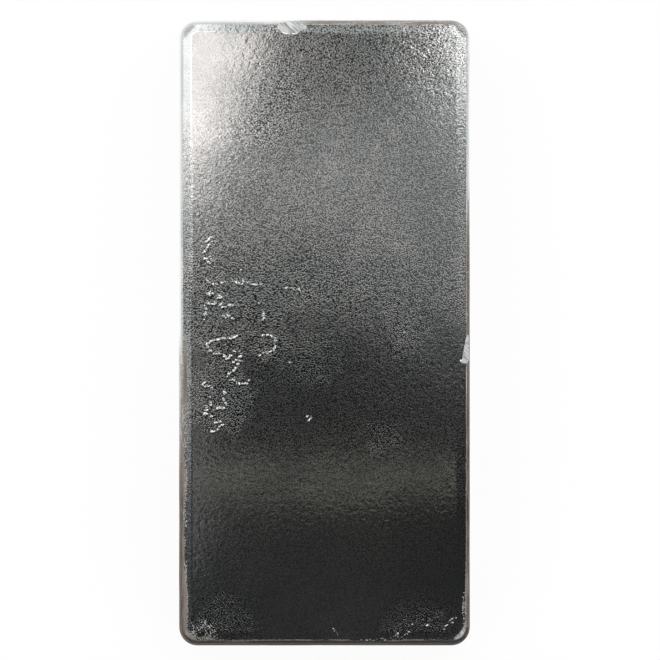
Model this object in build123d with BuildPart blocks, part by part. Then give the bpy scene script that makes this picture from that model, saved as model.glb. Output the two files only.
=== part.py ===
"""Cast ingot of white metal: one solid, lying on the face that was open when it was poured.

The metal froze in an open mould whose walls lean outwards, the end walls more than the side
walls. The bar is therefore largest near its poured face and smallest at the mould face, which
is uppermost here. The mould's floor left a radius round the mould face. The metal's own skin
left another round the poured face, and the middle of that face sank as the last metal froze.
Handling has since left two marks: a dent of two blows in one end and a nick in one long side.

Frame: +Z up, +Y along the bar, origin at the middle of its base. Sizes are in millimetres.
"""

import os
from math import degrees, radians, sqrt, tan

from build123d import *

# The bar as cast
length = 117.3  # along Y, where the walls meet the poured face
width = 54.6  # along X, where the walls meet the poured face
thickness = 15.5  # from the rim of the poured face to the mould face
side_draft = 2.5  # degrees, the lean of the two long walls
end_draft = 5.0  # degrees, the lean of the two short walls
corner_radius = 3.6  # upright corners, at the poured face
mould_edge_radius = 1.9  # edge round the mould face
poured_edge_radius = 1.8  # edge round the poured face

# The hollow that the metal left as it shrank, in the poured face
hollow_rim = 3.2  # flat left between the hollow and the rounded edge
hollow_depth = 0.5  # at the middle

# The dent in the end at +Y: two blows side by side from something round
striker_radius = 3.5  # roundness of what struck it
first_blow_place = -6.3  # along X
first_blow_reach = 2.2  # how far it comes in from the wall, at the mould face
first_blow_depth = 1.6  # below the mould face, at the middle of the blow
second_blow_place = -4.9
second_blow_reach = 1.5
second_blow_depth = 1.2

# The nick in the long side at +X, cut along the edge and stopped dead
nick_place = -5.3  # along Y, the stopped end
nick_length = 7.0  # along the edge, running out towards +Y
nick_reach = 1.4  # how far it comes in from the wall, at the mould face
nick_depth = 3.0  # down the wall, from the mould face

cutter_margin = 1.0  # how far a cutter runs on past the metal

# Where the walls would meet the mould face, before its edge was rounded
side_lean = thickness * tan(radians(side_draft))
end_lean = thickness * tan(radians(end_draft))
mould_half_width = width / 2 - side_lean
mould_half_length = length / 2 - end_lean

# The hollow is a shallow dome with an oval rim: an arc across, swept along a flatter arc
hollow_half_width = width / 2 - poured_edge_radius - hollow_rim
hollow_half_length = length / 2 - poured_edge_radius - hollow_rim
hollow_cross_radius = (hollow_half_width**2 + hollow_depth**2) / (2 * hollow_depth)
hollow_sweep_radius = (hollow_half_length**2 + hollow_depth**2) / (2 * hollow_depth)
hollow_axis = Axis((0, 0, hollow_depth - hollow_sweep_radius), (1, 0, 0))
hollow_half_angle = degrees((hollow_half_length + cutter_margin) / hollow_sweep_radius)

with BuildPart() as hollow:
    with BuildSketch(Plane.XZ):
        with Locations((0, hollow_depth - hollow_cross_radius)):
            Circle(hollow_cross_radius)
        Rectangle(
            2 * (hollow_half_width + cutter_margin),
            2 * (hollow_depth + cutter_margin),
            mode=Mode.INTERSECT,
        )
    revolve(axis=hollow_axis, revolution_arc=hollow_half_angle)
    mirror(about=Plane.XZ)

# The nick's cutter: a wedge that leans out to meet the wall, and runs out along the edge
nick_foot = width / 2 - (thickness - nick_depth) * tan(radians(side_draft))
nick_far = width / 2 + cutter_margin

with BuildPart() as nick:
    for height, start in (
        (thickness, mould_half_width - nick_reach),
        (thickness - nick_depth, nick_foot),
    ):
        run_out = (nick_far - start) * nick_length / nick_reach
        with BuildSketch(Plane.XY.offset(height)):
            with BuildLine():
                Polyline(
                    (start, nick_place),
                    (nick_far, nick_place),
                    (nick_far, nick_place + run_out),
                    close=True,
                )
            make_face()
    loft()

with BuildPart() as ingot:
    # From the outline at the poured face to the one at the mould face
    with BuildSketch():
        RectangleRounded(width, length, corner_radius)
    with BuildSketch(Plane.XY.offset(thickness)):
        RectangleRounded(2 * mould_half_width, 2 * mould_half_length, corner_radius - side_lean)
    loft()

    # One edge from the mould's floor, and one from the metal's own skin
    fillet(ingot.faces().sort_by(Axis.Z)[-1].edges(), mould_edge_radius)
    fillet(ingot.faces().sort_by(Axis.Z)[0].edges(), poured_edge_radius)

    # Shrinkage, and then the marks of handling
    add(hollow.part, mode=Mode.SUBTRACT)
    for place, reach, depth in (
        (first_blow_place, first_blow_reach, first_blow_depth),
        (second_blow_place, second_blow_reach, second_blow_depth),
    ):
        mark_radius = sqrt(striker_radius**2 - (striker_radius - depth) ** 2)
        blow_y = mould_half_length - reach + mark_radius
        with Locations((place, blow_y, thickness + striker_radius - depth)):
            Sphere(striker_radius, mode=Mode.SUBTRACT)
    add(nick.part, mode=Mode.SUBTRACT)

ingot.part.label = "ingot"

os.makedirs("parts", exist_ok=True)
export_step(ingot.part, "parts/ingot.step")
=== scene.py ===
"""A kilogram bar of cast white metal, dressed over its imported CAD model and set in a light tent.

The bar is one casting. Its mesh follows the CAD solid's section and adds what the eye sees on
the metal: the soft unevenness of the mould face, the laps on the walls, the thin beads that the
last metal left on the skin, a few scratches, and the dent and the nick that handling made.
"""

import math

import bmesh
import bpy
from bpy.props import FloatProperty, PointerProperty, StringProperty
from mathutils import Matrix, Vector, kdtree, noise


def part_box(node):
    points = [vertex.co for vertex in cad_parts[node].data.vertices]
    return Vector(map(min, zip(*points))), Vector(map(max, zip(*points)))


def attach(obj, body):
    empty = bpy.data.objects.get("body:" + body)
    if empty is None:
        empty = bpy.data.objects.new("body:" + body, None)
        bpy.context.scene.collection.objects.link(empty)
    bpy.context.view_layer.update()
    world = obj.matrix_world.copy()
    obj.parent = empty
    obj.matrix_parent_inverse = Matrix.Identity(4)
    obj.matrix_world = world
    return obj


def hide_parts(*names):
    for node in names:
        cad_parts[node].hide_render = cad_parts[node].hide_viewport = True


bl_info = {
    "name": "Cast Metal Ingot",
    "version": (1, 0, 0),
    "blender": (4, 5, 0),
    "location": "3D View > Sidebar > Ingot",
    "description": "Builds a cast bar of white metal and the light tent it is seen in",
    "category": "Add Mesh",
}

MM = 0.001

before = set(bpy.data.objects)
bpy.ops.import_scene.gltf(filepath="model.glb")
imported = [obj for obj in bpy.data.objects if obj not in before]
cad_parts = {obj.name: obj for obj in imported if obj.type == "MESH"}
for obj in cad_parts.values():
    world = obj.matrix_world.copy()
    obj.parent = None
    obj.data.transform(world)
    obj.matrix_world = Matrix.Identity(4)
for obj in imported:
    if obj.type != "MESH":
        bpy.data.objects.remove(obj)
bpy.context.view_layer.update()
bar_low, bar_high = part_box("ingot")

# Beads that the last metal left standing on the mould face, in millimetres on the face.
# Each is its half width, its height and the line that it follows.
BEADS = (
    (0.20, 0.035, ((-21.8, 16.6), (-21.0, 17.4), (-20.8, 16.9),
        (-21.3, 16.0), (-21.7, 15.3), (-22.4, 14.6))),
    (0.20, 0.035, ((-22.0, 13.4), (-21.6, 12.9), (-21.1, 12.7),
        (-20.8, 13.1), (-21.2, 13.9), (-21.7, 14.2))),
    (0.17, 0.025, ((-21.5, 9.2), (-20.8, 8.8), (-19.5, 8.9), (-18.2, 9.2))),
    (0.24, 0.040, ((-17.1, 9.4), (-16.3, 9.1), (-15.5, 8.8), (-14.8, 9.2))),
    (0.17, 0.025, ((-14.3, 9.1), (-13.8, 8.9), (-13.0, 8.8), (-12.3, 8.9), (-11.3, 8.8))),
    (0.55, 0.070, ((-21.4, 7.1), (-21.1, 6.8), (-20.9, 7.1))),
    (0.40, 0.055, ((-19.9, 6.1), (-19.2, 6.4))),
    (0.20, 0.035, ((-22.2, 2.2), (-22.0, 2.9), (-21.9, 4.5), (-22.1, 4.8), (-21.7, 5.4), (-21.1, 5.0))),
    (0.22, 0.040, ((-21.1, 5.0), (-20.2, 5.2), (-19.4, 5.0), (-18.8, 5.3))),
    (0.18, 0.030, ((-18.9, 4.5), (-17.8, 4.5), (-17.0, 4.9), (-17.8, 5.0))),
    (0.18, 0.030, ((-19.1, 3.3), (-18.3, 2.6), (-17.8, 2.9), (-17.1, 2.5), (-16.7, 2.5))),
    (0.18, 0.030, ((-15.8, -0.6), (-17.2, -1.2), (-18.8, -1.2), (-20.9, -1.6), (-21.5, -2.1))),
    (0.22, 0.040, ((-21.5, -2.1), (-21.9, -2.4), (-21.4, -3.3), (-20.6, -3.9), (-19.6, -4.1))),
    (0.18, 0.030, ((-18.5, -4.6), (-18.1, -5.0), (-17.5, -4.8), (-17.2, -4.1))),
    (0.16, 0.025, ((-16.8, -3.6), (-15.7, -3.6), (-15.4, -4.5), (-16.0, -4.7))),
    (0.22, 0.040, ((-16.8, -5.5), (-16.3, -5.2), (-15.8, -5.3),
        (-15.7, -5.7), (-16.3, -6.3), (-16.3, -6.8))),
    (0.22, 0.040, ((-16.3, -6.8), (-16.8, -7.1), (-17.1, -7.5), (-17.8, -7.8), (-18.0, -8.3))),
    (0.20, 0.035, ((-17.7, -8.9), (-17.0, -8.8), (-16.3, -9.4),
        (-15.8, -9.6), (-14.9, -9.5), (-14.3, -9.6))),
    (0.18, 0.030, ((-14.3, -9.6), (-14.2, -9.2), (-13.8, -8.6), (-13.4, -8.4))),
    (0.20, 0.035, ((-21.9, -9.1), (-22.5, -9.8), (-22.0, -10.1),
        (-21.4, -10.0), (-21.0, -10.1), (-20.6, -10.7))),
    (0.18, 0.030, ((-18.3, -11.3), (-18.8, -11.9), (-18.5, -12.9), (-18.1, -13.6), (-18.6, -14.1))),
    (0.18, 0.030, ((-18.6, -14.1), (-19.4, -14.1), (-20.2, -14.3), (-20.7, -14.5))),
    (0.22, 0.040, ((-21.1, -12.1), (-21.0, -12.8), (-21.0, -13.5))),
    (0.24, 0.045, ((-21.9, -13.4), (-21.8, -14.6), (-22.0, -15.3))),
    (0.20, 0.035, ((-21.0, -15.6), (-20.6, -16.0), (-20.4, -15.6))),
    (0.20, 0.035, ((-20.2, -16.8), (-19.5, -16.4), (-18.9, -16.8), (-18.8, -17.2), (-19.4, -17.5))),
    (0.20, 0.035, ((-19.4, -17.5), (-19.9, -18.2), (-20.7, -18.4), (-21.4, -18.4))),
    (0.20, 0.040, ((-15.6, 11.6), (-15.4, 11.4))),
    (0.18, 0.040, ((-10.9, 5.9), (-10.8, 5.8))),
    (0.16, 0.030, ((-11.3, 3.1), (-11.0, 2.9))),
    (0.22, 0.045, ((14.5, 0.0), (14.8, -0.1))),
    (0.18, 0.035, ((-1.6, -0.1), (-1.4, -0.1))),
    (0.15, 0.030, ((-3.2, -15.6), (-2.7, -15.3), (-2.5, -15.8), (-3.0, -16.4))),
    (0.14, 0.020, ((1.6, -54.7), (2.4, -55.8), (3.0, -56.3), (4.2, -56.1), (4.8, -56.3), (6.0, -56.5))),
    (0.14, 0.020, ((6.0, -56.5), (7.3, -56.7), (8.6, -56.7), (9.8, -56.6), (10.7, -56.5), (11.4, -56.7))),
    (0.16, 0.025, ((12.1, -56.3), (13.4, -55.6), (13.7, -56.3), (14.6, -55.9), (15.5, -55.5))),
    (0.14, 0.020, ((15.5, -55.5), (15.4, -54.4), (16.2, -53.9))),
    (0.16, 0.025, ((18.9, -54.2), (19.2, -53.4), (19.3, -52.8))),
    (0.14, 0.020, ((21.5, -54.8), (22.0, -54.8), (22.4, -54.1),
        (23.1, -53.6), (23.7, -53.5), (24.3, -53.6))),
    (0.14, 0.020, ((22.8, -53.6), (23.4, -52.9), (24.0, -52.6), (24.4, -52.7))),
    (0.16, 0.030, ((-11.6, -0.7), (-10.9, -0.5), (-10.1, -0.7),
        (-9.3, -1.0), (-9.0, -1.7), (-9.5, -2.2))),
    (0.16, 0.030, ((-9.0, -2.5), (-9.3, -3.2), (-10.0, -3.6),
        (-10.6, -4.0), (-11.3, -3.8), (-12.0, -4.4))),
    (0.16, 0.030, ((-12.2, 5.4), (-11.9, 5.0))),
    (0.16, 0.030, ((-11.2, 3.6), (-11.1, 2.9), (-11.2, 2.1))),
    (0.16, 0.030, ((-7.3, 8.3), (-6.9, 7.8))),
    (0.16, 0.030, ((-6.1, 8.2), (-5.7, 7.8))),
    (0.16, 0.030, ((-5.0, 7.9), (-4.6, 7.4))),
    (0.16, 0.030, ((-6.6, -5.5), (-6.4, -5.5))),
)

# Scratches in the mould face, written in the same way, with their depth as a negative height
SCRATCHES = (
    (0.10, -0.008, ((14.6, 53.6), (16.8, 52.4), (19.0, 51.0))),
    (0.10, -0.006, ((16.1, 51.9), (18.7, 50.2))),
    (0.10, -0.005, ((14.8, 49.5), (17.9, 48.4))),
)

# How the beads and scratches waver along their lines, in millimetres
LINE_STEP = 0.06  # between the points that stand for a line
BEAD_WAVER = (0.16, 1.5)  # how far a bead sways sideways, and how much its size varies
SCRATCH_WAVER = (0.0, 0.3)
SWAYS_PER_MM = 1.8
SWAY_SEED = 1  # the sways start from the clock unless they are seeded
SWELLS_PER_MM = 3.3
SWELL_START = 40  # sets the pattern of the swells apart from that of the sways
MEAN_SIZE = 0.55  # as a share of the sizes above; a line breaks off where it swells below 0
LEAST_WIDTH = 0.2
HEIGHT_GAIN = 1.8  # lifts the heights above, so that the finest lines still show
# Beads end on the mould edge: how far below the mould face they begin, and over what height
# they come to full size, in millimetres
BEAD_END, BEAD_RISE = 1.5, 1.4
# How bare the metal is on a bead, and the height at which it is as bare as that
BEAD_FRESH, BEAD_FRESH_FROM = 0.55, 0.02

# What handling did to the upper edges, in millimetres: the dent and the nick of the CAD model.
# The nick runs out over a longer stretch here, because its end is only a scrape.
STRIKER_RADIUS = 3.5
BLOWS = ((-6.3, 2.2, 1.6), (-4.9, 1.5, 1.2))  # place along the end, reach, depth
NICK_PLACE = -5.3
NICK_LENGTH = 10.0
NICK_REACH = 1.4
NICK_DEPTH = 3.0
# The furrows that they left: how far apart, how long and how deep
DENT_FURROWS = (0.45, 3.5, 0.04)
NICK_FURROWS = (0.3, 4.0, 0.02)
# The burr that was pushed up at the nick's stopped end
BURR_PLACE = -0.10  # along Y, from the stopped end
BURR_HALF_WIDTH = 0.25
BURR_HEIGHT = 0.06
BURR_REACH = 0.2  # further in than the nick
BURR_FOOT = 0.3  # how far down it shows, as a share of the nick's depth

# Where the mesh is made finer, in millimetres: under the lines, the dent and the nick
FINE_CUTS = 3
FINE_BY_LINES = 0.45
FINE_DEPTH = 1.2 * NICK_DEPTH
DENT_FROM_END, DENT_SPAN = 4.5, (-10.0, -2.4)
NICK_FROM_SIDE, NICK_SPAN = 2.8, (NICK_PLACE - 0.6, NICK_PLACE + 0.7 * NICK_LENGTH)

# How uneven the cast skin is, in millimetres. It lies under the plain form by a mean depth, so
# that its highest waves stay inside the CAD model.
SKIN_DEPTH = 0.040
SLOW_SPACING, SLOW_HEIGHT = 26.0, 0.012
SHORT_SPACING, SHORT_HEIGHT = 7.5, 0.0025
BASE_SHARE = 0.4  # of that unevenness, on the base
# The laps and creases on the walls, where the metal rose in steps: how long, how far apart
# upwards and how deep
LAP_LENGTH, LAP_PITCH, LAP_HEIGHT = 9.0, 1.3, 0.03
CREASE_LENGTH, CREASE_PITCH, CREASE_DEPTH = 12.0, 2.2, 0.04
CREASE_SHARPNESS = 7
WALL_DEPTH = 0.02

# How rough the skin is from -Y to +Y, in millimetres and from 0 to 1
EVEN_FROST = (
    (-60, 0.7),
    (-50, 0.5),
    (-36, 0.5),
    (-28, 0.7),
    (-14, 0.62),
    (-4, 0.62),
    (8, 0.95),
    (18, 0.85),
    (28, 0.75),
    (46, 0.65),
)
# Where it is rougher or smoother than that: place on the mould face, reach and how much. Each
# patch is full out to 0.4 of its reach and gone at 1.4, and its border wanders by 2.5 mm.
FROST = (
    ((-5.9, 7.8), 3.4, 0.4),
    ((-10.9, 3.8), 3.2, 0.3),
    ((-10.3, -2.3), 3.4, 0.4),
    ((-3.1, -5.2), 5.5, 0.2),
    ((-19.5, 3.0), 7.0, 0.8),
    ((-19.5, -12.0), 6.0, 0.8),
    ((15.2, -1.3), 4.5, 0.25),
    ((10.9, -19.7), 3.5, 0.2),
    ((24.0, 52.0), 9.0, 0.4),
    ((-13.0, 43.0), 9.0, 0.4),
    ((-23.5, 48.0), 12.0, -0.42),
    ((17.0, -56.0), 7.0, 0.5),
    ((-19.0, -54.0), 7.0, 0.5),
)

FROST_FULL, FROST_BORDER = 0.4, 2.5
WALL_FROST = 0.2  # as a share of that on the mould face

# Soot and scale along each wall, and along the edge above it: place along the wall, in
# millimetres, and thickness. They show from about 0.45 and cover from 0.55, as pale scale where
# they are thin and as black soot from about 1. On the south edge and wall the black soot is
# painted shade, and on the east it partly is: it stands for the dark surroundings that those
# edges mirror.
WEST_SOOT = (
    ((-58, 0.78), (-34, 0.74), (-18, 0.54), (-6, 0.49), (4, 0.3), (58, 0.1)),
    ((-58, 0.6), (-48, 0.54), (-40, 0.36), (-22, 0.43), (-14, 0.52), (-8, 0.62), (-2, 0.5), (1, 0.0)),
)
# Partly painted shade: the soot on the east wall and on the south end of its edge.
EAST_SOOT_AND_SHADE = (
    ((-58, 0.7), (-30, 0.85), (-14, 0.75), (-8, 0.66), (14, 0.66), (24, 0.5), (30, 0.35)),
    ((-58, 0.4), (-46, 0.36), (-40, 0.0)),
)
# Painted shade: the black soot on the south wall and on its edge.
SOUTH_SOOT_AND_SHADE = (
    ((-27, 0.9), (-14, 1.0), (-6, 1.3), (2, 1.3), (9, 1.0), (18, 1.3)),
    ((-27, 0.52), (-20, 0.36), (-14, 0.2), (27, 0.3)),
)
NORTH_SOOT = (((-14, 0.3), (0, 0.58), (27, 0.56)), ((-14, 0.2), (0, 0.32)))
# A wall begins for the soot, the scale and the painted shade where the mould edge leans this
# far: the upright part of its normal, and the range over which it comes in
SOOT_AND_SHADE_LEAN, SOOT_AND_SHADE_COMES_IN = 0.76, 0.08
EDGE_COMES_IN = 0.03  # the same range for the edge above it, from where the face is level
BASE_COMES_IN = 0.3  # and for the base, which has none
# Where the soot and painted shade start to thin towards the base, over what height, and what
# is left of them
SOOT_AND_SHADE_THINS, SOOT_AND_SHADE_THINNING, SOOT_AND_SHADE_LEFT = 6.5, 6.0, 0.5
# A smear of pale scale on the mould face, partly a brownish stain and partly a painted
# highlight where the corner at -X -Y catches light: its place, its reach along X and Y, and
# its thickness
SMEAR_AND_HIGHLIGHT_PLACE, SMEAR_AND_HIGHLIGHT_REACH, SMEAR_AND_HIGHLIGHT = (-23.5, -55.5), (4.0, 3.0), 0.42
LEVEL = 0.8  # the upright part of a normal that still counts as the mould face


class INGOT_PG_bar(bpy.types.PropertyGroup):
    """Sizes of the casting, as in its CAD model"""

    length: FloatProperty(
        name="Length",
        description="Along Y, where the mould's walls meet the poured face",
        default=117.3 * MM,
        subtype="DISTANCE",
        precision=5,
    )
    width: FloatProperty(
        name="Width",
        description="Along X, where the mould's walls meet the poured face",
        default=54.6 * MM,
        subtype="DISTANCE",
        precision=5,
    )
    thickness: FloatProperty(
        name="Thickness",
        description="From the poured face to the mould face",
        default=bar_high.z - bar_low.z,
        subtype="DISTANCE",
        precision=5,
    )
    side_draft: FloatProperty(
        name="Side Draft",
        description="Lean of the two long walls",
        default=math.radians(2.5),
        subtype="ANGLE",
    )
    end_draft: FloatProperty(
        name="End Draft",
        description="Lean of the two short walls",
        default=math.radians(5.0),
        subtype="ANGLE",
    )
    corner_radius: FloatProperty(
        name="Corner Radius",
        description="Upright corners, at the poured face",
        default=3.6 * MM,
        subtype="DISTANCE",
        precision=5,
    )
    mould_edge: FloatProperty(
        name="Mould Edge",
        description="Radius round the mould face",
        default=1.9 * MM,
        subtype="DISTANCE",
        precision=5,
    )
    poured_edge: FloatProperty(
        name="Poured Edge",
        description="Radius round the poured face",
        default=1.8 * MM,
        subtype="DISTANCE",
        precision=5,
    )
    hollow_rim: FloatProperty(
        name="Hollow Rim",
        description="Flat left round the shrinkage hollow",
        default=3.2 * MM,
        subtype="DISTANCE",
        precision=5,
    )
    hollow_depth: FloatProperty(
        name="Hollow Depth",
        description="Depth of the shrinkage hollow at its middle",
        default=0.5 * MM,
        subtype="DISTANCE",
        precision=5,
    )
    pitch: FloatProperty(
        name="Mesh Pitch",
        description="Size of a mesh cell on the faces",
        default=0.6 * MM,
        subtype="DISTANCE",
        precision=5,
    )


class INGOT_PG_skin(bpy.types.PropertyGroup):
    """Finish of the metal"""

    metal: StringProperty(
        name="Clean Metal",
        description="sRGB colour of the metal where it is clean",
        default="#E2E3E1",
    )
    film: StringProperty(
        name="Tarnish Film",
        description="sRGB colour of the thin film that air left on it",
        default="#CACFCD",
    )
    pits: StringProperty(
        name="Pits",
        description="sRGB colour of the grain's pits, where soot from the mould stays",
        default="#7A7C7B",
    )
    # The soot colour also paints shade: it is the black on the south edge and wall and, in part, on the
    # east.
    soot: StringProperty(
        name="Soot",
        description="sRGB colour of the soot and scale that cling to the walls",
        default="#2F2B28",
    )
    scale: StringProperty(
        name="Scale",
        description="sRGB colour of the pale scale among the soot",
        default="#7A7068",
    )
    grain: FloatProperty(
        name="Grain",
        description="Spacing of the skin's grain",
        default=0.23 * MM,
        subtype="DISTANCE",
        precision=5,
    )
    grain_height: FloatProperty(
        name="Grain Height",
        description="How far the grain stands up",
        default=0.0015 * MM,
        subtype="DISTANCE",
        precision=6,
    )
    peel: FloatProperty(
        name="Orange Peel",
        description="Spacing of the slight waves under the grain",
        default=0.9 * MM,
        subtype="DISTANCE",
        precision=5,
    )
    peel_height: FloatProperty(
        name="Orange Peel Height",
        description="How far the slight waves stand up",
        default=0.004 * MM,
        subtype="DISTANCE",
        precision=6,
    )
    roughness: FloatProperty(
        name="Roughness",
        description="Gloss of the clean skin, from 0, mirror, to 1, dull",
        default=0.045,
        subtype="FACTOR",
        min=0.0,
        max=1.0,
    )


class INGOT_PG_studio(bpy.types.PropertyGroup):
    """Camera and light"""

    camera_height: FloatProperty(
        name="Camera Height",
        description="Above the mould face",
        default=1000 * MM,
        subtype="DISTANCE",
    )
    camera_side: FloatProperty(
        name="Camera Side",
        description="How far the camera stands to the west, -X, of the bar's middle",
        default=4 * MM,
        subtype="DISTANCE",
    )
    camera_south: FloatProperty(
        name="Camera South",
        description="How far the camera stands to the south, -Y, of the bar's middle",
        default=4 * MM,
        subtype="DISTANCE",
    )
    frame_width: FloatProperty(
        name="Frame Width",
        description="What the picture takes in, across the mould face",
        default=121.7 * MM,
        subtype="DISTANCE",
    )
    tent: FloatProperty(
        name="Tent",
        description="Strength of the tent's sky",
        default=1.0,
    )
    softbox: FloatProperty(
        name="Softboxes",
        description="Brightness of the softboxes round the bar, where white paper is 1",
        default=1.5,
    )
    floor_white: FloatProperty(
        name="Floor White",
        description="How far the floor is lifted to plain white where it is seen",
        default=0.93,
        subtype="FACTOR",
        min=0.0,
        max=1.0,
    )


class INGOT_PG_settings(bpy.types.PropertyGroup):
    """All settings of the ingot and its studio"""

    bar: PointerProperty(type=INGOT_PG_bar)
    skin: PointerProperty(type=INGOT_PG_skin)
    studio: PointerProperty(type=INGOT_PG_studio)


def linear(hex_colour):
    """An sRGB hex colour as the linear RGBA that Blender works in."""
    channels = [int(hex_colour[i : i + 2], 16) / 255 for i in (1, 3, 5)]
    return (
        *(
            c / 12.92 if c <= 0.04045 else ((c + 0.055) / 1.055) ** 2.4
            for c in channels
        ),
        1.0,
    )


def add_node(tree, kind, inputs=None, **settings):
    """Adds a node, with its settings, and its inputs as values or as sockets to link from."""
    node = tree.nodes.new(kind)
    for name, value in settings.items():
        setattr(node, name, value)
    for name, value in (inputs or {}).items():
        if isinstance(value, bpy.types.NodeSocket):
            tree.links.new(value, node.inputs[name])
        else:
            node.inputs[name].default_value = value
    return node


def ease(tree, value, low, high, to_low=0.0, to_high=1.0, kind="LINEAR"):
    """Takes a value from one range to another and holds it at the ends."""
    return add_node(
        tree,
        "ShaderNodeMapRange",
        {"Value": value, "From Min": low, "From Max": high, "To Min": to_low, "To Max": to_high},
        interpolation_type=kind,
    ).outputs["Result"]


def reckon(tree, operation, *values):
    """Does arithmetic on values or sockets."""
    return add_node(tree, "ShaderNodeMath", dict(enumerate(values)), operation=operation).outputs[0]


def mix_colours(tree, factor, first, second):
    """Mixes two colours. The node's colour sockets share their names, so they go by number."""
    mix = add_node(
        tree, "ShaderNodeMix", {"Factor": factor, 6: first, 7: second}, data_type="RGBA"
    )
    return mix.outputs[2]


def smooth(t):
    """Eases from 0 to 1 as t does."""
    t = min(max(t, 0.0), 1.0)
    return t * t * (3 - 2 * t)


def along(stops, place):
    """Reads a level off a smooth line through stops, each a place and a level."""
    for (start, from_level), (end, to_level) in zip(stops, stops[1:]):
        if place <= end:
            return from_level + (to_level - from_level) * smooth((place - start) / (end - start))
    return stops[-1][1]


# The casting


def wall_levels(bar):
    """Lists the heights at which the walls are drawn, from the mould face down to the base."""
    top_steps, wall_steps, base_steps = 8, 22, 6
    levels = []
    for i in range(top_steps + 1):
        a = math.pi / 2 * i / top_steps
        levels.append(bar.thickness - bar.mould_edge * (1 - math.cos(a)))
    head, foot = levels[-1], 2 * bar.poured_edge
    levels += [head + (foot - head) * i / wall_steps for i in range(1, wall_steps + 1)]
    for i in range(1, base_steps + 1):
        levels.append(bar.poured_edge * (1 + math.cos(math.pi * i / base_steps)))
    return levels


def wall_inset(bar, draft, height):
    """How far a wall has come in from its line at the base, at this height."""
    lean, slant = math.tan(draft), math.cos(draft)
    top_centre = bar.thickness * lean + bar.mould_edge * (1 - math.sin(draft)) / slant
    base_centre = bar.poured_edge * (1 + math.sin(draft)) / slant
    above = height - (bar.thickness - bar.mould_edge)
    below = height - bar.poured_edge
    if above > bar.mould_edge * math.sin(draft):
        return top_centre - math.sqrt(max(0.0, bar.mould_edge**2 - above**2))
    if below < bar.poured_edge * math.sin(draft):
        return base_centre - math.sqrt(max(0.0, bar.poured_edge**2 - below**2))
    return height * lean


def outline(bar, height):
    """Half width, half length and corner radius of the bar at this height."""
    side = wall_inset(bar, bar.side_draft, height)
    end = wall_inset(bar, bar.end_draft, height)
    return bar.width / 2 - side, bar.length / 2 - end, bar.corner_radius - side


def round_corners(verts, half_width, half_length, radius):
    """Draws the corners of a square-cornered sheet or ring in to the radius."""
    for v in verts:
        corner = Vector(
            (
                math.copysign(max(abs(v.co.x) - half_width + radius, 0.0), v.co.x),
                math.copysign(max(abs(v.co.y) - half_length + radius, 0.0), v.co.y),
                0.0,
            )
        )
        if corner.x and corner.y:
            v.co += corner * (max(abs(corner.x), abs(corner.y)) / corner.length - 1)


def make_sheet(bm, bar, height):
    """Adds one of the two faces as a fine square-cornered grid, and returns its vertices."""
    half_width, half_length, radius = outline(bar, height)
    sheet = bmesh.ops.create_grid(
        bm,
        x_segments=round(bar.width / bar.pitch),
        y_segments=round(bar.length / bar.pitch),
        size=1.0,
    )["verts"]
    bmesh.ops.scale(bm, vec=(half_width, half_length, 1.0), verts=sheet)
    bmesh.ops.translate(bm, vec=(0.0, 0.0, height), verts=sheet)
    return sheet


def make_walls(bm, bar, levels):
    """Draws the rim of the mould face down through the levels, ring by ring."""
    rings = []
    rim = [e for e in bm.edges if e.is_boundary]
    for above, height in zip(levels, levels[1:]):
        drawn = bmesh.ops.extrude_edge_only(bm, edges=rim)["geom"]
        ring = [g for g in drawn if isinstance(g, bmesh.types.BMVert)]
        rim = [g for g in drawn if isinstance(g, bmesh.types.BMEdge) and g.is_boundary]
        upper, lower = outline(bar, above), outline(bar, height)
        bmesh.ops.scale(bm, vec=(lower[0] / upper[0], lower[1] / upper[1], 1.0), verts=ring)
        bmesh.ops.translate(bm, vec=(0.0, 0.0, height - above), verts=ring)
        rings.append((ring, height))
    return rings


def line_points():
    """Points every few hundredths of a millimetre along each bead and scratch, with its size."""
    noise.seed_set(SWAY_SEED)
    points = []
    for number, (half_width, height, line) in enumerate(BEADS + SCRATCHES):
        reach, unevenness = BEAD_WAVER if height > 0 else SCRATCH_WAVER
        for (x0, y0), (x1, y1) in zip(line, line[1:]):
            steps = max(2, int(math.hypot(x1 - x0, y1 - y0) / LINE_STEP))
            for i in range(steps):
                t = i / steps
                x, y = x0 + (x1 - x0) * t, y0 + (y1 - y0) * t
                sway = noise.noise_vector(Vector((x * SWAYS_PER_MM, y * SWAYS_PER_MM, number)))
                swell = noise.noise(
                    Vector((x * SWELLS_PER_MM, y * SWELLS_PER_MM, number + SWELL_START))
                )
                size = MEAN_SIZE + unevenness * swell
                points.append(
                    (
                        (x + reach * sway.x) * MM,
                        (y + reach * sway.y) * MM,
                        half_width * max(size, LEAST_WIDTH) * MM,
                        HEIGHT_GAIN * height * max(size, 0.0) * MM,
                    )
                )
    return points


def point_tree(points):
    """Makes a tree that finds the nearest of some points on the mould face."""
    tree = kdtree.KDTree(len(points))
    for i, point in enumerate(points):
        tree.insert((point[0], point[1], 0.0), i)
    tree.balance()
    return tree


def refine(bm, bar, lines):
    """Gives the mould face smaller cells under the beads, the dent and the nick."""
    top = bar.thickness - FINE_DEPTH * MM
    dent_y = bar.length / 2 - DENT_FROM_END * MM
    nick_x = bar.width / 2 - NICK_FROM_SIDE * MM

    def fine(face):
        c = face.calc_center_median()
        if c.z < top:
            return False
        if c.y > dent_y and DENT_SPAN[0] < c.x / MM < DENT_SPAN[1]:
            return True
        if c.x > nick_x and NICK_SPAN[0] < c.y / MM < NICK_SPAN[1]:
            return True
        return lines.find((c.x, c.y, 0.0))[2] < FINE_BY_LINES * MM

    # Each edge once and in the faces' order, so that every run gives the same mesh
    edges = dict.fromkeys(e for f in bm.faces if fine(f) for e in f.edges)
    bmesh.ops.subdivide_edges(bm, edges=list(edges), cuts=FINE_CUTS, use_grid_fill=True)


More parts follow.
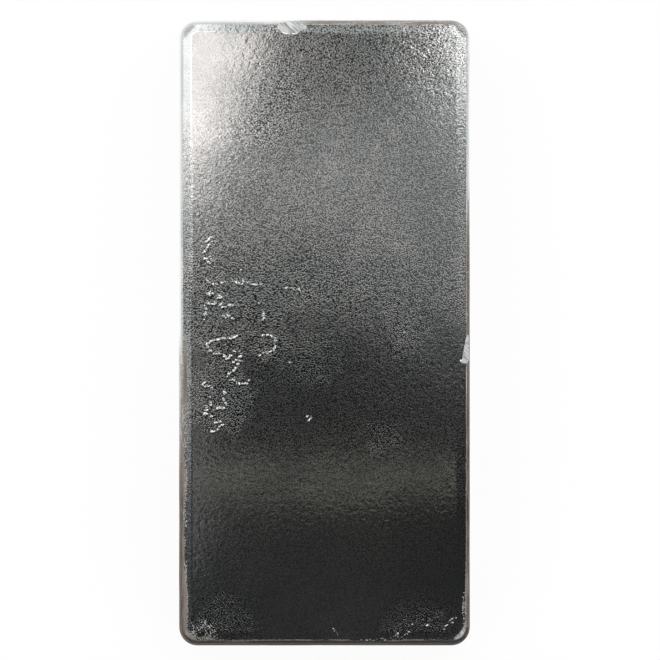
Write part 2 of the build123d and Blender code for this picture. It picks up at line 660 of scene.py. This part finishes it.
def waves(co, spacing, rise, start):
    """Random waves from -1 to 1, a spacing apart along the bar and a rise apart up it.

    Their start sets their pattern apart from the others.
    """
    return noise.noise(Vector((co.x / spacing, co.y / spacing, co.z / rise)) / MM + Vector(start))


def skin_depth(co, normal):
    """How far the metal's skin lies under the plain form here: slow waves, and laps on the walls."""
    depth = SKIN_DEPTH
    depth += SLOW_HEIGHT * waves(co, SLOW_SPACING, SLOW_SPACING, (0, 0, 3.1))
    depth += SHORT_HEIGHT * waves(co, SHORT_SPACING, SHORT_SPACING, (9, 0, 0))
    # Laps come in where the form turns from the faces to the walls
    side = smooth(1.6 * (1 - abs(normal.z)) - 0.3)
    if side:
        lap = waves(co, LAP_LENGTH, LAP_PITCH, (0, 0, 0))
        crease = abs(waves(co, CREASE_LENGTH, CREASE_PITCH, (4, 0, 0)))
        creased = 1 - smooth(crease * CREASE_SHARPNESS)
        depth += side * (WALL_DEPTH + LAP_HEIGHT * lap + CREASE_DEPTH * creased)
    return depth * MM


def dent(co, bar):
    """Presses the two blows into the end at +Y. Returns the new place and how fresh it is."""
    wall_y = bar.length / 2 - bar.thickness * math.tan(bar.end_draft)
    radius = STRIKER_RADIUS * MM
    apart, long, deep = DENT_FURROWS
    fresh = 0.0
    for number, (place, reach, depth) in enumerate(BLOWS):
        mark = math.sqrt(radius**2 - (radius - depth * MM) ** 2)
        centre = Vector((place * MM, wall_y - reach * MM + mark, bar.thickness + radius - depth * MM))
        across = (co.x - centre.x) ** 2 + (co.y - centre.y) ** 2
        if across < radius**2:
            floor = centre.z - math.sqrt(radius**2 - across)
            if co.z > floor:
                furrows = Vector(((co.x + co.y) / apart, (co.x - co.y) / long, number * MM)) / MM
                co.z = floor + deep * MM * noise.noise(furrows)
                fresh = 1.0
    return co, fresh


def nick(co, bar):
    """Cuts the nick into the side at +X, with its burr. Returns the new place and how fresh it is."""
    lean = math.tan(bar.side_draft)
    wall_x = bar.width / 2 - bar.thickness * lean
    apart, long, deep = NICK_FURROWS
    fresh = 0.0
    down = (bar.thickness - co.z) / (NICK_DEPTH * MM)
    run = co.y / MM - NICK_PLACE
    if 0 < run < NICK_LENGTH and down < 1:
        foot = bar.width / 2 - (bar.thickness - NICK_DEPTH * MM) * lean
        head = wall_x - NICK_REACH * MM
        facet = head + (foot - head) * down + run * MM * NICK_REACH / NICK_LENGTH
        if co.x > facet:
            furrows = Vector((co.x / apart, co.y / long, co.z / apart)) / MM
            co.x = facet - deep * MM * (1 + noise.noise(furrows))
            fresh = 1.0
    burr = smooth(2 * (1 - abs(run - BURR_PLACE) / BURR_HALF_WIDTH))
    if burr and down < BURR_FOOT and co.x > wall_x - (NICK_REACH + BURR_REACH) * MM:
        co.z += BURR_HEIGHT * MM * burr
        fresh = max(fresh, burr)
    return co, fresh


def soot(co, normal):
    """How thick the mould's soot and scale lie here, from 0, none.

    They lie on the walls from the turn of the mould edge down, and thin towards the base. On the
    south edge and wall the black soot is painted shade, and on the east it partly is: it stands
    for the dark surroundings that those edges mirror. The corner at -X +Y has least: there the
    metal was poured in and washed them away. One patch of pale scale lies on the mould face in
    the corner at -X -Y, partly a brownish stain and partly a painted highlight where that corner
    catches light.
    """
    x, y, z = co / MM
    wall = smooth((SOOT_AND_SHADE_LEAN - normal.z) / SOOT_AND_SHADE_COMES_IN) * smooth((normal.z + 1) / BASE_COMES_IN)
    wall *= 1 - (1 - SOOT_AND_SHADE_LEFT) * smooth((SOOT_AND_SHADE_THINS - z) / SOOT_AND_SHADE_THINNING)
    edge = smooth((1 - normal.z) / EDGE_COMES_IN) * (1 - wall)
    total, thickness = 0.0, 0.0
    for facing, place, (on_wall, on_edge) in (
        (-normal.x, y, WEST_SOOT),
        (normal.x, y, EAST_SOOT_AND_SHADE),
        (-normal.y, x, SOUTH_SOOT_AND_SHADE),
        (normal.y, x, NORTH_SOOT),
    ):
        if facing > 0:
            total += facing
            thickness += facing * (wall * along(on_wall, place) + edge * along(on_edge, place))
    smear_and_highlight = 0.0
    if normal.z > LEVEL:
        east = (x - SMEAR_AND_HIGHLIGHT_PLACE[0]) / SMEAR_AND_HIGHLIGHT_REACH[0]
        north = (y - SMEAR_AND_HIGHLIGHT_PLACE[1]) / SMEAR_AND_HIGHLIGHT_REACH[1]
        smear_and_highlight = SMEAR_AND_HIGHLIGHT * smooth(1.7 - math.hypot(east, north))
    return max(thickness / total if total else 0.0, smear_and_highlight)


def frost(co, normal):
    """How rough the skin's grain is here: more in some patches, and less down the walls."""
    x, y = co.x / MM, co.y / MM
    up = WALL_FROST + (1 - WALL_FROST) * smooth((normal.z - 0.3) / 0.5)
    ragged = FROST_BORDER * noise.noise(Vector((x / FROST_BORDER, y / FROST_BORDER, 7.0)))
    patches = sum(
        more * smooth(1 + FROST_FULL - (math.hypot(x - at[0], y - at[1]) + ragged) / reach)
        for at, reach, more in FROST
    )
    return up * min(max(along(EVEN_FROST, y) + patches, 0.0), 1.0)


# Patterns in the metal: patches of tarnish, streaks of soot on the walls, and the scrapes in
# the dent and the nick with their turn from X, in millimetres and degrees
TARNISH_PATCH = 14.0
STREAK_LENGTH, STREAK_PITCH = 4.0, 0.4
SCRAPE_LENGTH, SCRAPE_WIDTH, SCRAPE_TURN = 3.3, 0.35, -40
# What the grain's pattern reads at the bottom of a dimple and at its rim, and on the humps
# between the dimples, which stand up
DIMPLE, RIM = 0.40, 0.56
HUMP_FOOT, HUMP_TOP = 0.54, 0.62
# Roughness of scraped metal and of soot
SCRAPED_ROUGHNESS = 0.42
SOOT_ROUGHNESS = 0.75


def cast_metal(skin):
    """Fine silver, as cast against an iron mould: bright metal under a fine orange peel.

    The skin froze against the mould, so it is nearly a mirror, broken up by sharp dimples a
    quarter of a millimetre apart, with soot in the dimples and a thin film of tarnish in patches.
    The mould's own soot and scale cling to the walls in streaks, and there it is matt. On the
    south edge and wall, and partly on the east, the black soot is painted shade.
    """
    material = bpy.data.materials.new("cast_silver_mould_skin")
    material.use_nodes = True
    tree = material.node_tree
    tree.nodes.clear()
    place = add_node(tree, "ShaderNodeTexCoord").outputs["Object"]

    def speckle(sizes, turn=0.0, **inputs):
        moved = add_node(
            tree,
            "ShaderNodeMapping",
            {"Vector": place, "Rotation": (0.0, 0.0, turn), "Scale": sizes},
            vector_type="TEXTURE",
        )
        given = {"Vector": moved.outputs["Vector"], "Scale": 1.0}
        given.update({name.title(): value for name, value in inputs.items()})
        return add_node(tree, "ShaderNodeTexNoise", given).outputs["Fac"]

    def painted(name):
        return add_node(tree, "ShaderNodeAttribute", attribute_name=name).outputs["Fac"]

    cells = speckle([skin.grain] * 3, detail=0.0, distortion=0.6)
    waviness = speckle([skin.peel] * 3, detail=1.0, distortion=0.8)
    patches = speckle([TARNISH_PATCH * MM] * 3, detail=3.0, roughness=0.6)
    streaked = (STREAK_LENGTH * MM, STREAK_LENGTH * MM, STREAK_PITCH * MM)
    streaks = speckle(streaked, detail=2.0, roughness=0.6)
    scraped = (SCRAPE_LENGTH * MM, SCRAPE_WIDTH * MM, SCRAPE_LENGTH * MM)
    scrapes = speckle(scraped, turn=math.radians(SCRAPE_TURN), detail=1.0)
    rough_skin = painted("frost")
    soot_and_shade = painted("soot")

    # Where the metal is bare, and where soot, scale and painted shade cover it: both end in a
    # ragged border
    broken = reckon(tree, "MULTIPLY_ADD", ease(tree, cells, DIMPLE, RIM), 0.5, painted("fresh"))
    fresh = ease(tree, broken, 0.6, 1.0)
    coverage = reckon(tree, "MULTIPLY_ADD", streaks, 0.6, reckon(tree, "MULTIPLY", cells, 0.4))
    soot_and_shade_cover = ease(tree, reckon(tree, "ADD", coverage, soot_and_shade), 0.93, 1.05)

    # Colour: tarnish in patches, dark dimples where the skin is rough, and scrapes where it is
    # bare. The crust over it is pale scale, and black soot where it is thick; on the south edge and
    # wall, and partly on the east, that black is painted shade.
    untarnished = ease(tree, patches, 0.38, 0.62)
    clean = mix_colours(tree, untarnished, linear(skin.film), linear(skin.metal))
    in_dimples = reckon(tree, "SUBTRACT", 1.0, rough_skin)
    skin_light = ease(tree, cells, RIM, DIMPLE, 1.0, in_dimples)
    bare_light = ease(tree, scrapes, 0.38, 0.54, 0.3, 1.0)
    bright = mix_colours(tree, fresh, skin_light, bare_light)
    metal = mix_colours(tree, bright, linear(skin.pits), clean)
    thick = reckon(tree, "MULTIPLY_ADD", cells, -0.4, soot_and_shade)
    thick = reckon(tree, "MULTIPLY_ADD", streaks, -1.2, thick)
    crust_and_shade = mix_colours(tree, ease(tree, thick, -0.3, 0.2), linear(skin.scale), linear(skin.soot))
    colour = mix_colours(tree, soot_and_shade_cover, metal, crust_and_shade)

    # Gloss: a little duller under the film, dull where it is scraped and matt under soot and
    # painted shade
    gloss = ease(tree, untarnished, 0.0, 1.0, skin.roughness * 1.2, skin.roughness * 0.9)
    gloss = ease(tree, fresh, 0.0, 1.0, gloss, SCRAPED_ROUGHNESS)
    gloss = ease(tree, soot_and_shade_cover, 0.0, 1.0, gloss, SOOT_ROUGHNESS)

    # Relief: the orange peel, and on it the grain's humps where the skin is rough
    bump = add_node(
        tree, "ShaderNodeBump", {"Distance": skin.peel_height, "Height": waviness}
    ).outputs["Normal"]
    humps = ease(tree, cells, HUMP_FOOT, HUMP_TOP, kind="SMOOTHSTEP")
    height = reckon(tree, "MULTIPLY", humps, reckon(tree, "MULTIPLY", rough_skin, rough_skin))
    bump = add_node(
        tree, "ShaderNodeBump", {"Distance": skin.grain_height, "Height": height, "Normal": bump}
    ).outputs["Normal"]
    shader = add_node(
        tree,
        "ShaderNodeBsdfPrincipled",
        {
            "Base Color": colour,
            "Metallic": ease(tree, soot_and_shade_cover, 0.0, 1.0, 1.0, 0.0),
            "Roughness": gloss,
            "Specular IOR Level": ease(tree, soot_and_shade_cover, 0.0, 1.0, 0.5, 0.15),
            "Normal": bump,
        },
    )
    add_node(tree, "ShaderNodeOutputMaterial", {"Surface": shader.outputs["BSDF"]})
    return material


def plain_form(bm, bar):
    """Makes the bar's plain form: its two faces, the walls between them and the round corners."""
    levels = wall_levels(bar)
    top = make_sheet(bm, bar, levels[0])
    rings = make_walls(bm, bar, levels)
    base = make_sheet(bm, bar, levels[-1])
    for verts, height in [(top, levels[0]), (base, levels[-1]), *rings]:
        round_corners(verts, *outline(bar, height))
    bmesh.ops.remove_doubles(bm, verts=bm.verts[:], dist=0.001 * MM)
    bmesh.ops.recalc_face_normals(bm, faces=bm.faces[:])


def lay_skin(bm, bar, points, lines):
    """Moves the plain form's vertices to the metal's skin, and paints what its material reads."""
    base_width, base_length, _ = outline(bar, 0.0)
    hollow_width, hollow_length = base_width - bar.hollow_rim, base_length - bar.hollow_rim
    fresh_layer, soot_and_shade_layer, frost_layer = (
        bm.verts.layers.float.new(name) for name in ("fresh", "soot", "frost")
    )
    bm.normal_update()
    moves = []
    for v in bm.verts:
        co = v.co.copy()
        depth = skin_depth(co, v.normal)
        new = co - v.normal * depth
        if co.z < 0.001 * MM:
            hollow = 1 - (co.x / hollow_width) ** 2 - (co.y / hollow_length) ** 2
            new.z = co.z + max(0.0, hollow) * bar.hollow_depth + BASE_SHARE * depth
        up = smooth((co.z - bar.thickness + BEAD_END * MM) / (BEAD_RISE * MM))
        if up:
            _, number, gap = lines.find((co.x, co.y, 0.0))
            wide, high = points[number][2:]
            if gap < wide:
                shape = (1 - (gap / wide) ** 2) ** 2
                new.z += high * shape * up
                bare = smooth(2 * shape) * smooth(high / (BEAD_FRESH_FROM * MM))
                v[fresh_layer] = BEAD_FRESH * bare
        if co.z > bar.thickness - FINE_DEPTH * MM:
            for mark in (dent, nick):
                new, fresh = mark(new, bar)
                v[fresh_layer] = max(fresh, v[fresh_layer])
        # Soot and scale, with the painted shade on the south edge and wall and partly on the east
        v[soot_and_shade_layer] = soot(co, v.normal) * (1 - v[fresh_layer])
        v[frost_layer] = frost(co, v.normal)
        new.z = min(new.z, bar.thickness)
        moves.append(new)
    for v, new in zip(bm.verts, moves):
        v.co = new


class INGOT_OT_cast(bpy.types.Operator):
    """Cast the ingot: its sheets and walls, its skin, its beads and the marks of handling"""

    bl_idname = "ingot.cast"
    bl_label = "Cast Ingot"
    bl_options = {"REGISTER", "UNDO"}

    def execute(self, context):
        settings = context.scene.ingot
        bar = settings.bar
        bm = bmesh.new()
        plain_form(bm, bar)
        points = line_points()
        lines = point_tree(points)
        refine(bm, bar, lines)
        lay_skin(bm, bar, points, lines)
        for face in bm.faces:
            face.smooth = True
        if any(not e.is_manifold for e in bm.edges):
            raise RuntimeError("The casting isn't closed.")

        mesh = bpy.data.meshes.new("ingot_casting")
        bm.to_mesh(mesh)
        bm.free()
        mesh.materials.append(cast_metal(settings.skin))
        casting = bpy.data.objects.new("ingot_casting", mesh)
        context.collection.objects.link(casting)
        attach(casting, "root")
        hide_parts("ingot")
        return {"FINISHED"}


# The studio


def paper_floor(studio):
    """Matt white paper, rolled smooth. It reads as plain white, and keeps the bar's soft shadow."""
    material = bpy.data.materials.new("matt_white_paper")
    material.use_nodes = True
    tree = material.node_tree
    tree.nodes.clear()
    rays = add_node(tree, "ShaderNodeLightPath").outputs
    seen = rays["Is Camera Ray"]
    for name in ("Is Glossy Ray", "Is Transmission Ray"):
        seen = reckon(tree, "MAXIMUM", seen, rays[name])
    share = reckon(tree, "MULTIPLY", seen, studio.floor_white)
    paper = add_node(tree, "ShaderNodeBsdfDiffuse", {"Color": linear("#F6F6F6")})
    white = add_node(tree, "ShaderNodeEmission", {"Color": linear("#FFFFFF"), "Strength": 1.0})
    surface = add_node(
        tree,
        "ShaderNodeMixShader",
        {0: share, 1: paper.outputs["BSDF"], 2: white.outputs["Emission"]},
    )
    add_node(tree, "ShaderNodeOutputMaterial", {"Surface": surface.outputs["Shader"]})
    return material


# The tent's sky from south to north: where the mould face shows it to the camera, in
# millimetres along Y, and how bright it is. The bar's west edge shows a whiter part of it.
SKY = (
    (-60, 0.043),
    (-38, 0.034),
    (-22, 0.021),
    (-12, 0.026),
    (-2, 0.031),
    (5, 0.046),
    (12, 0.165),
    (20, 0.27),
    (34, 0.35),
    (43, 0.13),
    (51, 0.05),
    (70, 0.07),
    (88, 0.2),
)
WEST_SKY = (
    (-60, 0.08),
    (-42, 0.05),
    (-28, 0.16),
    (-13, 0.36),
    (-6, 0.5),
    (2, 0.26),
    (10, 0.38),
    (20, 0.7),
    (32, 1.2),
    (46, 1.5),
)
SKY_REACH = 90.0  # how far along Y the sky is given, either way
# Where it turns from the one to the other, and the tent's open corners at the +Y end: the
# range along X and along Y in which each comes in, and its level
WEST_TURN = (-76.0, -100.0)
OPEN_CORNERS = (((19.0, 27.0), (34.0, 48.0), 1.7), ((-6.0, -24.0), (100.0, 135.0), 1.5))
# The tent's four white corners, seen only from low down: how far a direction turns off both
# axes, as the product of its two level parts, and their level
TENT_CORNERS = (0.06, 0.2)
TENT_CORNER_LEVEL = 0.8
# The dark foot of the tent: the sines of two heights above the horizon, and what is left there
TENT_FOOT = (0.04, 0.22)
TENT_FOOT_SHADE = 0.2
# It isn't dark to the north: where that begins and ends, along Y
TENT_FOOT_NORTH = (8.0, 34.0)
# Towards the east the sky's bands lie further south: the ranges along X and along Y in which
# they bend, and how far
BEND_ALONG_X, BEND_ALONG_Y, BEND = (2.0, 21.0), (36.0, 12.0), 12.0

# The softboxes overhead: where on the mould face the camera sees each and how large it looks
# there, in millimetres, its radiance, its colour and its shape
OVERHEAD = (
    ("key_softbox", (-40.5, 69), (64, 94), 0.7, "#FFF7F6", "ELLIPSE"),
    ("key_skirt", (-48, 52), (70, 86), 0.6, "#FFF7F6", "ELLIPSE"),
    ("west_strip", (-29, -16), (15, 64), 0.15, "#FFFFFF", "ELLIPSE"),
    ("gap_strip", (1.9, 30), (4.5, 14), 0.15, "#FFFFFF", "RECTANGLE"),
    ("side_softbox", (34.5, 55), (24, 32), 0.23, "#FFF7F6", "ELLIPSE"),
    ("shelf_strip", (2, -26.8), (49, 5.5), 0.165, "#FFF9EA", "RECTANGLE"),
)
# How high they hang, as a multiple of the camera's height. Each hangs this much above the one
# before, in metres, because of two in one plane only one would show.
OVERHEAD_HEIGHT, OVERHEAD_STEP = 1.5, 0.01
# The softboxes round the bar, with their places and sizes in metres. They light the white
# paper and the walls, and the metal doesn't mirror them.
FILLS = (
    ("north_west", (-0.60, 0.60, 0.60), (0.80, 0.80)),
    ("north_east", (0.60, 0.60, 0.60), (0.80, 0.80)),
    ("south_east", (0.65, -0.65, 0.40), (0.60, 0.50)),
    ("south_west", (-0.65, -0.65, 0.40), (0.60, 0.50)),
)
FLOOR_HALF_WIDTH = 3.0
SENSOR_WIDTH = 36.0  # in millimetres, as the camera's lens is
PICTURE_MIDDLE = (0.96, 0.45)  # where it falls on the mould face, in millimetres


def tent_world(studio):
    """A grey sky that darkens to the south, with the tent's white sides to the west and north-east.

    Each direction goes by the place on the mould face where the camera sees it mirrored, in
    millimetres. What the camera sees of the tent itself is plain white.
    """
    world = bpy.data.worlds.new("light_tent")
    world.use_nodes = True
    tree = world.node_tree
    tree.nodes.clear()
    direction = add_node(tree, "ShaderNodeTexCoord").outputs["Generated"]
    part = add_node(tree, "ShaderNodeSeparateXYZ", {"Vector": direction}).outputs
    height = studio.camera_height / MM
    east = reckon(tree, "MULTIPLY_ADD", part["X"], height, -studio.camera_side / MM)
    north = reckon(tree, "MULTIPLY_ADD", part["Y"], height, -studio.camera_south / MM)

    def sky(stops, northing):
        ramp = add_node(
            tree, "ShaderNodeValToRGB", {"Fac": ease(tree, northing, -SKY_REACH, SKY_REACH)}
        )
        elements = ramp.color_ramp.elements
        while len(elements) < len(stops):
            elements.new(1.0)
        for element, (where, level) in zip(elements, stops):
            element.position = 0.5 + 0.5 * where / SKY_REACH
            element.color = (level, level, level, 1.0)
        return ramp.outputs["Color"]

    bend = ease(tree, east, *BEND_ALONG_X, 0.0, ease(tree, north, *BEND_ALONG_Y, 0.0, BEND))
    open_sky = sky(SKY, reckon(tree, "ADD", north, bend))
    westward = ease(tree, east, *WEST_TURN, kind="SMOOTHSTEP")
    shade = mix_colours(tree, westward, open_sky, sky(WEST_SKY, north))
    for along_x, along_y, level in OPEN_CORNERS:
        corner = reckon(
            tree,
            "MULTIPLY",
            ease(tree, east, *along_x, kind="SMOOTHSTEP"),
            ease(tree, north, *along_y, kind="SMOOTHSTEP"),
        )
        shade = mix_colours(tree, corner, shade, (level, level, level, 1.0))
    foot = ease(tree, part["Z"], *TENT_FOOT, ease(tree, north, *TENT_FOOT_NORTH, TENT_FOOT_SHADE))
    shade = mix_colours(tree, foot, linear("#000000"), shade)
    turned = reckon(tree, "ABSOLUTE", reckon(tree, "MULTIPLY", part["X"], part["Y"]))
    white = (TENT_CORNER_LEVEL, TENT_CORNER_LEVEL, TENT_CORNER_LEVEL, 1.0)
    shade = mix_colours(tree, ease(tree, turned, *TENT_CORNERS), shade, white)
    seen = add_node(tree, "ShaderNodeLightPath").outputs["Is Camera Ray"]
    shade = mix_colours(tree, seen, shade, linear("#FFFFFF"))
    backdrop = add_node(tree, "ShaderNodeBackground", {"Color": shade, "Strength": studio.tent})
    add_node(tree, "ShaderNodeOutputWorld", {"Surface": backdrop.outputs["Background"]})
    return world


def hang_softbox(name, place, size, radiance, colour="#FFFFFF", shape="RECTANGLE"):
    """Hangs a softbox level overhead, or turned to the bar if it stands well to one side.

    Its radiance is 1 where white paper would look white.
    """
    lamp = bpy.data.lights.new(name, "AREA")
    lamp.shape = shape
    lamp.size, lamp.size_y = size
    lamp.energy = radiance * math.pi * size[0] * size[1] * (math.pi / 4 if shape == "ELLIPSE" else 1)
    lamp.color = linear(colour)[:3]
    holder = bpy.data.objects.new(name, lamp)
    holder.location = place
    aim = Vector(place) - Vector((0.0, 0.0, bar_high.z))
    if math.hypot(aim.x, aim.y) > 0.5 * aim.z:
        holder.rotation_euler = aim.to_track_quat("Z", "Y").to_euler()
    holder.visible_camera = False
    bpy.context.collection.objects.link(holder)
    return holder


def hang_overhead(studio, name, seen_at, seen_size, radiance, colour, shape):
    """Hangs a softbox overhead, by where and how large the mould face shows it to the camera."""
    height = OVERHEAD_HEIGHT * studio.camera_height + OVERHEAD_STEP * len(bpy.data.lights)
    lift = height / studio.camera_height
    x, y = seen_at[0] * MM, seen_at[1] * MM
    place = (
        x + (x + studio.camera_side) * lift,
        y + (y + studio.camera_south) * lift,
        bar_high.z + height,
    )
    size = (seen_size[0] * MM * (1 + lift), seen_size[1] * MM * (1 + lift))
    hang_softbox(name, place, size, radiance, colour, shape)


class INGOT_OT_studio(bpy.types.Operator):
    """Set up the floor, the light tent, the softboxes and the camera"""

    bl_idname = "ingot.studio"
    bl_label = "Set Up Studio"
    bl_options = {"REGISTER", "UNDO"}

    def execute(self, context):
        scene = context.scene
        studio = scene.ingot.studio
        bm = bmesh.new()
        bmesh.ops.create_grid(bm, x_segments=1, y_segments=1, size=FLOOR_HALF_WIDTH)
        mesh = bpy.data.meshes.new("paper_floor")
        bm.to_mesh(mesh)
        bm.free()
        mesh.materials.append(paper_floor(studio))
        floor = bpy.data.objects.new("paper_floor", mesh)
        context.collection.objects.link(floor)

        scene.world = tent_world(studio)
        for softbox in OVERHEAD:
            hang_overhead(studio, *softbox)
        for name, place, size in FILLS:
            lamp = hang_softbox(f"softbox_{name}", place, size, studio.softbox)
            lamp.visible_glossy = False

        camera = bpy.data.cameras.new("photo_camera")
        camera.sensor_width = SENSOR_WIDTH
        camera.lens = camera.sensor_width * studio.camera_height / studio.frame_width
        camera.clip_start, camera.clip_end = 0.01, 20.0
        holder = bpy.data.objects.new("photo_camera", camera)
        eye = Vector((-studio.camera_side, -studio.camera_south, bar_high.z + studio.camera_height))
        aim = Vector((PICTURE_MIDDLE[0] * MM, PICTURE_MIDDLE[1] * MM, bar_high.z))
        back = (eye - aim).normalized()
        right = Vector((0.0, 1.0, 0.0)).cross(back).normalized()
        turn = Matrix((right, back.cross(right), back)).transposed()
        holder.matrix_world = Matrix.Translation(eye) @ turn.to_4x4()
        context.collection.objects.link(holder)
        scene.camera = holder
        scene.view_settings.view_transform = "Standard"
        return {"FINISHED"}


class INGOT_PT_panel(bpy.types.Panel):
    """Lists the ingot's settings and the steps that build it"""

    bl_idname = "INGOT_PT_panel"
    bl_label = "Cast Ingot"
    bl_space_type = "VIEW_3D"
    bl_region_type = "UI"
    bl_category = "Ingot"

    def draw(self, context):
        settings = context.scene.ingot
        for group in (settings.bar, settings.skin, settings.studio):
            box = self.layout.box()
            for name in group.bl_rna.properties.keys():
                if name not in ("rna_type", "name"):
                    box.prop(group, name)
        self.layout.operator(INGOT_OT_cast.bl_idname)
        self.layout.operator(INGOT_OT_studio.bl_idname)


CLASSES = (
    INGOT_PG_bar,
    INGOT_PG_skin,
    INGOT_PG_studio,
    INGOT_PG_settings,
    INGOT_OT_cast,
    INGOT_OT_studio,
    INGOT_PT_panel,
)


def register():
    for cls in CLASSES:
        bpy.utils.register_class(cls)
    bpy.types.Scene.ingot = PointerProperty(type=INGOT_PG_settings)


def unregister():
    del bpy.types.Scene.ingot
    for cls in reversed(CLASSES):
        bpy.utils.unregister_class(cls)


def main():
    register()
    bpy.ops.ingot.cast()
    bpy.ops.ingot.studio()


if __name__ == "__main__":
    main()
